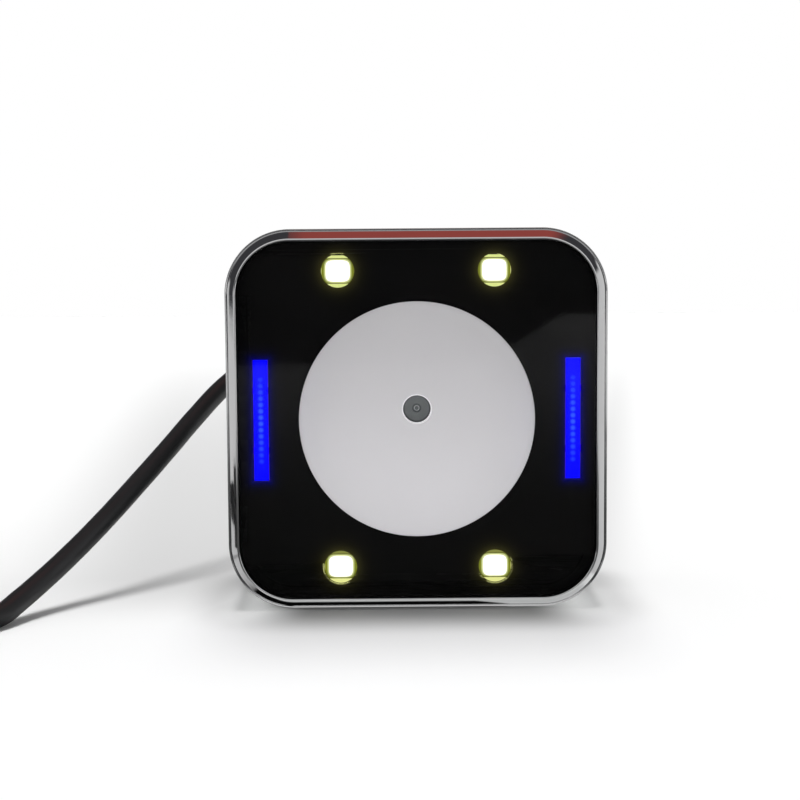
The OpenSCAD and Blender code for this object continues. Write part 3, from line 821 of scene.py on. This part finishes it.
def make_boot():
    """Ribbed boot round the lead, held in the back wall by its flange and its collar."""
    flange_f = BACK_IN - BOOT_FLANGE_T
    collar_r = BOOT_COLLAR_R - 0.2
    profile = [
        (CORD_R, flange_f), (BOOT_FLANGE_R, flange_f), (BOOT_FLANGE_R, BACK_IN), (BOOT_R, BACK_IN),
        (BOOT_R, BOOT_SEAT), (collar_r, BOOT_SEAT), (collar_r, BODY_D - 0.4), (collar_r - 0.1, BODY_D - 0.1),
        (collar_r - 0.4, BODY_D),
    ]
    ribs = 5
    rib_d = 0.6
    soft = 0.18
    pitch = (BOOT_LEN - BOOT_TIP_LEN) / ribs
    groove = pitch * 0.4
    for i in range(ribs):
        r = BOOT_R + (BOOT_TIP_R - BOOT_R) * i / ribs
        d = BODY_D + i * pitch
        profile += [
            (r - rib_d, d), (r - rib_d, d + groove), (r - soft, d + groove), (r, d + groove + soft),
            (r, d + pitch - soft), (r - soft, d + pitch),
        ]
    tip_round = 0.4
    end = BODY_D + BOOT_LEN
    profile += [
        (BOOT_TIP_R, BODY_D + ribs * pitch + 0.1), (BOOT_TIP_R, end - tip_round),
        (BOOT_TIP_R - 0.12, end - 0.12), (BOOT_TIP_R - tip_round, end), (CORD_R, end),
    ]
    return piece("boot", [turned(profile, 0, EXIT_Z, 64)], "cord_black", ["strain_relief"], crease=50)


def make_strap():
    """Band round the coil, drawn at steps of angle about the coil's axis."""
    steps = 12
    soft = 0.35
    inner = COIL_IN - STRAP_T
    outer = COIL_OUT + STRAP_T
    top = COIL_H + STRAP_T
    section = [
        (inner, soft), (inner + soft, 0), (outer - soft, 0), (outer, soft), (outer, top - soft),
        (outer - soft, top), (inner + soft, top), (inner, top - soft),
    ]
    hollow = [
        (COIL_IN, STRAP_T), (COIL_IN + soft, STRAP_T), (COIL_OUT - soft, STRAP_T), (COIL_OUT, STRAP_T),
        (COIL_OUT, COIL_H), (COIL_OUT - soft, COIL_H), (COIL_IN + soft, COIL_H), (COIL_IN, COIL_H),
    ]
    outside = []
    inside = []
    for i in range(steps + 1):
        a = math.radians(90 - STRAP_HALF_ANGLE + 2 * STRAP_HALF_ANGLE * i / steps)
        outside.append([spot(*about_coil(r, a, z)) for r, z in section])
        inside.append([spot(*about_coil(r, a, z)) for r, z in hollow])
    shapes = [band(outside), band(inside)]
    shapes += [band([outside[end], inside[end]]) for end in (0, -1)]
    return piece("coil_strap", shapes, "strap_fabric", ["cord_strap"], crease=60)


lead = make_lead()
boot = make_boot()
strap = make_strap()


# Housing

def make_bezel():
    """Chrome ring: crowned lip, slanted flank, a fine bead at its foot, and skirt, with the window's pocket
    and ledge inside and four screw pillars behind."""
    flank_in = FOOT - LIP
    length = math.hypot(flank_in, FLANK_D)
    sink = math.sqrt(FLANK_R ** 2 - length ** 2 / 4)
    centre = ((LIP + FOOT) / 2 - sink * FLANK_D / length, FLANK_D / 2 + sink * flank_in / length)
    lip_angle = math.degrees(math.atan2(-centre[1], LIP - centre[0]))
    foot_angle = math.degrees(math.atan2(FLANK_D - centre[1], FOOT - centre[0]))
    lip_soft_angle = 0.4
    bead = 0.08
    edge = 0.06
    profile = [
        (POCKET, 0.14), (POCKET + 0.03, 0.06), (POCKET + 0.09, 0.02), (POCKET + 0.15, 0.0),
        (LIP - 0.14, 0.0), (LIP - 0.08, 0.012), (LIP - 0.03, 0.04),
    ]
    profile += arc(centre, FLANK_R, lip_angle + lip_soft_angle, foot_angle, 12)
    profile.append((FOOT + 0.02, FLANK_D))
    profile += arc((HALF - bead, FLANK_D), bead, -110, 0, 6)
    profile += [
        (HALF, BEZEL_D - edge), (HALF - edge, BEZEL_D), (POCKET, BEZEL_D), (POCKET, PILLAR_F),
        (LEDGE, PILLAR_F), (LEDGE, LEDGE_F), (POCKET, LEDGE_F),
    ]
    root = PILLAR_F - PILLAR_ROOT
    pillar = [(SCREW_R, root), (PILLAR_R, root), (PILLAR_R, PILLAR_END), (SCREW_R, PILLAR_END)]
    shapes = [rim(profile)]
    shapes += [turned(pillar, x, z, 32) for x, z in four(PILLAR_AT, PILLAR_AT)]
    even_normals(piece("bezel_ring", shapes, "bright_chrome", ["bezel"], crease=24))


def make_window():
    """Clear pane, whose back and inked edge have materials of their own."""
    chamfer = 0.05
    rings = [(PANE - chamfer, WINDOW_F), (PANE, WINDOW_F + chamfer), (PANE, FILM_F)]
    shape = band([at_depth(outline(u), d) for u, d in rings], ends=True)
    made = piece("window_pane", [shape], "clear_window", ["window"])
    made.data.materials.append(pane_back())
    made.data.materials.append(pane_edge())
    back_slot = 1
    edge_slot = 2
    back = (FRONT_Y + FILM_F) * MM
    for face in made.data.polygons:
        if abs(face.center.y - back) < 1e-5:
            face.material_index = back_slot
        elif abs(face.normal.y) < 0.1:
            face.material_index = edge_slot


def make_print():
    """Black print with its openings for the disc, the lamps and the status bars. It ends with the pane."""
    loops = [outline(PANE), circle(DISC_R, steps=160)]
    loops += [circle(LAMP_R, x, z) for x, z in four(*LAMP_AT)]
    loops += [rectangle(*BAR_SIZE, i * BAR_X) for i in (-1, 1)]
    piece("window_print", plate(loops, FILM_F, FRAME_F), "gloss_black_film", ["mask_film"])


def make_disc():
    """White disc, with a bevel round the eye's hole and a rim that lies behind the print."""
    edge = circle(DISC_R + DISC_RIM, steps=160)
    wide = circle(EYE_R + EYE_BEVEL, 0, EYE_Z)
    narrow = circle(EYE_R, 0, EYE_Z)
    front = FRAME_F
    back = FRAME_F + DISC_T
    piece("white_disc", [
        flat([edge, wide], front), flat([edge, narrow], back),
        band([at_depth(edge, front), at_depth(edge, back)]),
        band([at_depth(wide, front), at_depth(narrow, front + EYE_BEVEL), at_depth(narrow, back)]),
    ], "opal_white", ["diffuser_disc"])


def back_holes():
    """Openings through the back wall: screw bores, threaded inserts and a ring of sound holes round one."""
    x, z = SOUND_AT
    turns = [2 * math.pi * k / SOUND_RING_HOLES for k in range(SOUND_RING_HOLES)]
    ring = [(x + SOUND_RING_R * math.cos(a), z + SOUND_RING_R * math.sin(a)) for a in turns]
    holes = [circle(SCREW_BORE_R, *at, steps=48) for at in four(PILLAR_AT, PILLAR_AT)]
    holes += [circle(INSERT_R, *at, steps=48) for at in four(MOUNT_AT, MOUNT_AT)]
    holes += [circle(SOUND_R, *at, steps=24) for at in [SOUND_AT, *ring]]
    return holes


def make_shell():
    """Rear shell: tongue, side walls and back wall, with the boot's seat, screw bosses and insert cups."""
    edge = 0.15
    wall = TONGUE_IN + 0.5
    profile = [
        (TONGUE_IN, TONGUE_F), (TONGUE, TONGUE_F), (TONGUE, SHELL_F), (HALF - edge, SHELL_F),
        (HALF, SHELL_F + edge),
    ]
    profile += arc((HALF - BACK_ROUND, BODY_D - BACK_ROUND), BACK_ROUND, 0, 90, 10)
    profile += [
        (wall, BODY_D), (wall, BACK_IN), (SHELL_IN, BACK_IN), (SHELL_IN, REVEAL_END), (TONGUE_IN, REVEAL_END),
    ]
    holes = back_holes()
    inner = circle(BOOT_R, 0, EXIT_Z, 64)
    outer = circle(BOOT_COLLAR_R, 0, EXIT_Z, 64)
    seat = [(inner, BACK_IN), (inner, BOOT_SEAT), (outer, BOOT_SEAT), (outer, BODY_D)]
    shapes = [rim(profile)]
    shapes += [flat([outline(wall), *holes, outer], BODY_D), flat([outline(wall), *holes, inner], BACK_IN)]
    shapes += [band([at_depth(loop, BACK_IN), at_depth(loop, BODY_D)]) for loop in holes]
    shapes.append(band([at_depth(loop, depth) for loop, depth in seat]))
    boss = [
        (SCREW_HOLE_R, PILLAR_END), (BOSS_R, PILLAR_END), (BOSS_R, BACK_IN), (SCREW_BORE_R, BACK_IN),
        (SCREW_BORE_R, SCREW_SEAT), (SCREW_HOLE_R, SCREW_SEAT),
    ]
    shapes += [turned(boss, x, z, 48) for x, z in four(PILLAR_AT, PILLAR_AT)]
    # The cup's floors end just short of its axis, so that each ring keeps its points apart
    axis = 0.01
    bottom = BODY_D - INSERT_LEN - BACK_T
    floor = BODY_D - INSERT_LEN - 0.2
    cup = [
        (axis, bottom), (INSERT_BOSS_R, bottom), (INSERT_BOSS_R, BACK_IN), (INSERT_R, BACK_IN),
        (INSERT_R, floor), (axis, floor),
    ]
    shapes += [turned(cup, x, z, 48) for x, z in four(MOUNT_AT, MOUNT_AT)]
    even_normals(piece("rear_housing", shapes, "shell_black", ["rear_shell"]))


make_bezel()
make_window()
make_print()
make_disc()
make_shell()

for name, obj in frame["nodes"].items():
    if not obj.material_slots:
        obj.data.materials.append(None)
    for slot in obj.material_slots:
        slot.material = materials[slot_of[name]]


# Studio. Places on the table are millimetres of the row frame.

def table_shade(t, x, y):
    """Shade that the camera sees on the table: beside the housing, before it and close to its foot. The
    shades beside it reach far back and widen on the way."""
    left_most = 0.28
    right_most = 0.2
    before_most = 0.36
    foot_most = 0.28
    leftward = t.math("SUBTRACT", t.product(x, -1.0), t.product(y, 0.12))
    rightward = t.math("SUBTRACT", x, t.product(y, 0.165))
    left = t.ramp(leftward, 90, 48, 0.0, left_most)
    right = t.ramp(rightward, 45, 29, 0.0, right_most)
    side = t.mix_value(t.ramp(x, -10, 10), left, right)
    beside = t.product(side, t.ramp(y, -30, 15), t.ramp(y, 800, 60))
    before = t.product(t.ramp(y, -70, -14, 0.0, before_most), t.between(x, -32, 33, 12))
    foot = t.product(t.ramp(y, -36, -18, 0.0, foot_most), t.between(x, -24, 26, 7))
    in_front = t.product(t.math("ADD", before, foot), t.ramp(y, 15, -15))
    return t.largest(beside, in_front)


def under_housing(t, x, y):
    """1 on the table under the housing, with a right end that slants back, as the lower flank mirrors it."""
    slant = t.product(t.beyond(x, 10), 0.17)
    return t.product(t.between(x, -31, 20, 0.8), t.between(t.math("SUBTRACT", y, slant), -16.05, 14, 0.15))


def table_glow(t, x, y, under, rays):
    """Strength of the light that stands for what bounces between table and housing: a strip along the foot,
    which only mirrors see, and a soft spot under each lower corner, which only the camera sees."""
    strip_strength = 0.45
    corner_strength = 0.38
    strip = t.product(t.between(y, -23, -8, 0.5), t.between(x, -31, 38, 1))
    strip = t.product(t.math("SUBTRACT", strip, under, clamp=True), rays["Is Glossy Ray"], strip_strength)
    corner = t.product(t.between(t.math("ABSOLUTE", x), 24, 32, 5), t.between(y, -22, 4, 8))
    corner = t.product(corner, rays["Is Camera Ray"], corner_strength)
    return t.math("ADD", strip, corner)


def make_floor():
    """Pale table top. The camera sees it white with painted soft shade. Mirrors see it grey, with painted
    shade that is darker in front of the housing and black under it, which sets the bands on the chrome and
    the window."""
    corners = [*TABLE_FRONT, (TABLE, -TABLE), (TABLE, TABLE), (-TABLE, TABLE)]
    mesh = bpy.data.meshes.new("table_top")
    mesh.from_pydata([spot(x, y, 0) for x, y in corners], [], [tuple(range(len(corners)))])
    obj = bpy.data.objects.new("table_top", mesh)
    scene.collection.objects.link(obj)
    made, t = material("table_top")
    x, y, _ = t.position()
    rays = t.add("ShaderNodeLightPath").outputs
    grey = colour(0.8, 0.8, 0.8)
    under = under_housing(t, x, y)
    # Painted shade that mirrors see: darker in front of the housing and black under it
    in_front = t.product(t.ramp(y, -22, -30), t.between(x, -140, 140, 25))
    mirrored = t.mix(in_front, grey, t.ramp(y, -30, -620, 0.1, 0.6))
    mirrored = t.mix(under, mirrored, colour(0.01, 0.01, 0.01))
    plain = t.mix(rays["Is Glossy Ray"], grey, mirrored)
    shaded = t.mix(table_shade(t, x, y), WHITE, BLACK)
    diffuse = t.add("ShaderNodeBsdfDiffuse", {"Color": t.mix(rays["Is Camera Ray"], plain, shaded)})
    glow = t.add("ShaderNodeEmission", {
        "Color": colour(0.98, 1, 0.99), "Strength": table_glow(t, x, y, under, rays),
    })
    t.output(t.add("ShaderNodeAddShader", {0: diffuse.outputs[0], 1: glow.outputs[0]}).outputs[0])
    mesh.materials.append(made)


def make_world():
    """White backdrop for the camera. Mirrors see a dark room with a pale backdrop that ends about 25 degrees
    up, pale cards on the left, on the right and ahead, and a red shape high up behind. Matt surfaces are lit
    by a plain sky with a bright low strip. x, y and z are the parts of a ray's direction."""
    world = bpy.data.worlds.new("studio")
    scene.world = world
    t = Tree(world)
    x, y, z = t.parts(t.coordinates("Generated"))
    rays = t.add("ShaderNodeLightPath").outputs
    backdrop_z = t.math("ADD", z, t.ramp(x, 0.0, -0.3, 0.0, 0.2))
    backdrop = t.product(t.ramp(y, 0.42, 0.52), t.ramp(backdrop_z, 0.42, 0.32))
    right = t.product(t.ramp(x, 0.17, 0.33), t.ramp(z, 0.35, 0.25), t.ramp(y, -0.95, -0.8))
    left = t.product(t.ramp(x, -0.25, -0.45), t.ramp(z, 0.1, 0.0), t.ramp(y, 0.15, 0.05))
    ahead = t.product(t.ramp(y, 0.0, -0.1), t.ramp(z, 0.1, 0.2), t.ramp(z, 0.75, 0.6))
    cards = t.largest(backdrop, right, ahead, left)
    room = t.mix(cards, colour(0.06, 0.06, 0.065), colour(0.85, 0.85, 0.85))
    red = t.product(t.ramp(x, -0.076, -0.058), t.ramp(x, 0.5, 0.2), t.ramp(z, 0.7, 0.75), t.ramp(y, 0.0, 0.1))
    mirrored = t.mix(red, room, colour(0.43, 0.09, 0.075))
    strip = t.product(t.ramp(z, 0.24, 0.16), t.ramp(y, -0.2, -0.5, 1.0, 2.2))
    sky = t.math("ADD", t.ramp(y, -0.3, 0.3, 0.25, 0.44), strip)
    shown = t.largest(rays["Is Camera Ray"], rays["Is Transmission Ray"])
    tone = t.mix(shown, t.mix(rays["Is Glossy Ray"], sky, mirrored), WHITE)
    t.output(t.add("ShaderNodeBackground", {"Color": tone}).outputs[0], "ShaderNodeOutputWorld")


def make_sun():
    """Wide soft light from above, a little behind the object."""
    data = bpy.data.lights.new("overhead", "SUN")
    data.energy = 2.0
    data.angle = math.radians(20)
    light = bpy.data.objects.new("overhead", data)
    light.rotation_euler = (math.radians(-5), 0, 0)
    light.visible_glossy = False
    scene.collection.objects.link(light)


make_floor()
make_world()
make_sun()
scene.view_settings.view_transform = "Standard"
